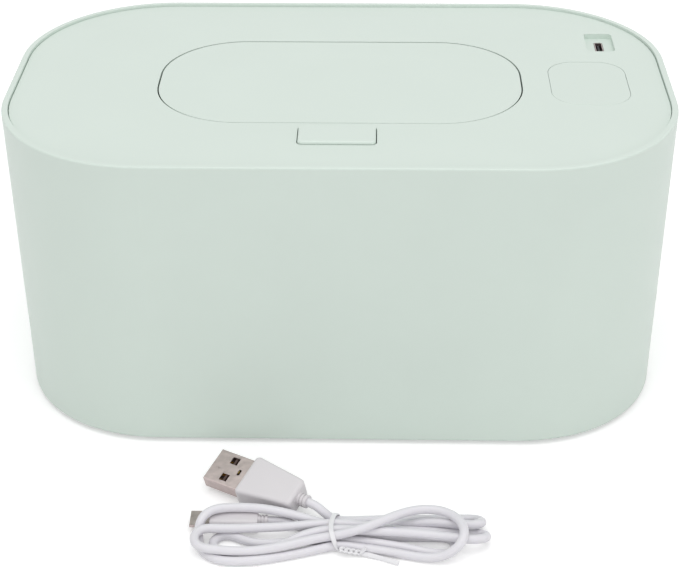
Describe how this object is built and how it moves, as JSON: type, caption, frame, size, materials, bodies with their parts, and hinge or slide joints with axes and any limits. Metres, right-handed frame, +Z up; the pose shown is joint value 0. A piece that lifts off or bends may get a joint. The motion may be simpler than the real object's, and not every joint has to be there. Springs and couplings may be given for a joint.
{
  "type": "baby wipe warmer",
  "caption": "Rounded tub that keeps baby wipes warm: lift-off heating cover with a flush flip lid, release button and display window, and its charging lead.",
  "frame": {"origin": "on the surface it stands on, under the middle of the case", "axes": "+X to the right along the long side, +Y to the back, where the lid is hinged, +Z up"},
  "size_m": [0.215, 0.1916, 0.1017],
  "materials": {
    "case_plastic": "satin moulded ABS, very pale green white",
    "inner_plastic": "plain moulded polypropylene, white",
    "foot_rubber": "matt moulded rubber",
    "silicone": "matt translucent silicone",
    "window_plastic": "satin light-passing polycarbonate",
    "plate_metal": "rolled sheet",
    "film": "amber polyimide film",
    "foam": "closed-cell foam",
    "steel": "zinc plated steel",
    "spring_steel": "drawn spring wire",
    "hook_plastic": "natural acetal",
    "board": "green solder mask on glass fibre",
    "black_plastic": "moulded black thermoset",
    "header_plastic": "natural nylon",
    "wire_jacket": "smooth PVC",
    "sensor_bead": "glossy epoxy",
    "fuse_case": "glazed ceramic",
    "plug_metal": "nickel plated steel",
    "contact_gold": "gold plated contacts",
    "plug_insert": "white moulded insert",
    "cord_jacket": "soft white PVC, satin",
    "tie_plastic": "white plastic ribbon with a wire core"
  },
  "bodies": {
    "case": {"outer_case": "case_plastic", "rubber_feet": "foot_rubber", "usb_plug_shell": "plug_metal", "usb_plug_tongue": "plug_insert", "usb_plug_contacts": "contact_gold", "usb_plug_grip": "cord_jacket", "micro_plug_shell": "plug_metal", "micro_plug_grip": "cord_jacket", "cable_hank": "cord_jacket", "cable_lead": "cord_jacket", "twist_tie": "tie_plastic"},
    "top_cover": {"cover_top_panel": "case_plastic", "cover_bottom_shell": "inner_plastic", "cover_seal_ring": "silicone", "button_springs": "spring_steel", "heater_plate": "plate_metal", "heating_film": "film", "insulation_foam": "foam", "thermal_fuse": "fuse_case", "thermistor": "sensor_bead", "hinge_pin": "steel", "lid_springs": "spring_steel", "mouth_collar": "case_plastic", "opening_lip": "silicone", "display_window": "window_plastic", "control_board": "board", "usb_socket_shell": "plug_metal", "usb_socket_tongue": "black_plastic", "display_digits": "header_plastic", "touch_springs": "spring_steel", "microcontroller": "black_plastic", "power_components": "black_plastic", "wire_connectors": "header_plastic", "heater_wires": "wire_jacket", "sensor_wires": "wire_jacket", "cover_screws": "steel", "heater_screws": "steel", "board_screws": "steel"},
    "flip_lid": {"lid_outer_shell": "case_plastic", "lid_inner_shell": "inner_plastic", "lid_gasket": "silicone", "lid_catch_hook": "hook_plastic"},
    "button": {"release_button": "case_plastic"}
  },
  "joints": [
    {"name": "cover_lift", "type": "slide", "parent": "case", "child": "top_cover", "axis": [0, 0, 1], "range_m": [0, 0.06]},
    {"name": "lid_hinge", "type": "hinge", "parent": "top_cover", "child": "flip_lid", "pos_m": [0, 0.036, 0.0971], "axis": [-1, 0, 0], "range_deg": [0, 100], "deforming": ["lid_catch_hook", "lid_springs"]},
    {"name": "button_press", "type": "slide", "parent": "top_cover", "child": "button", "axis": [0, 0, -1], "range_m": [0, 0.002], "stiffness_N_per_m": 250, "springref_m": -0.001, "deforming": ["button_springs"]}
  ]
}
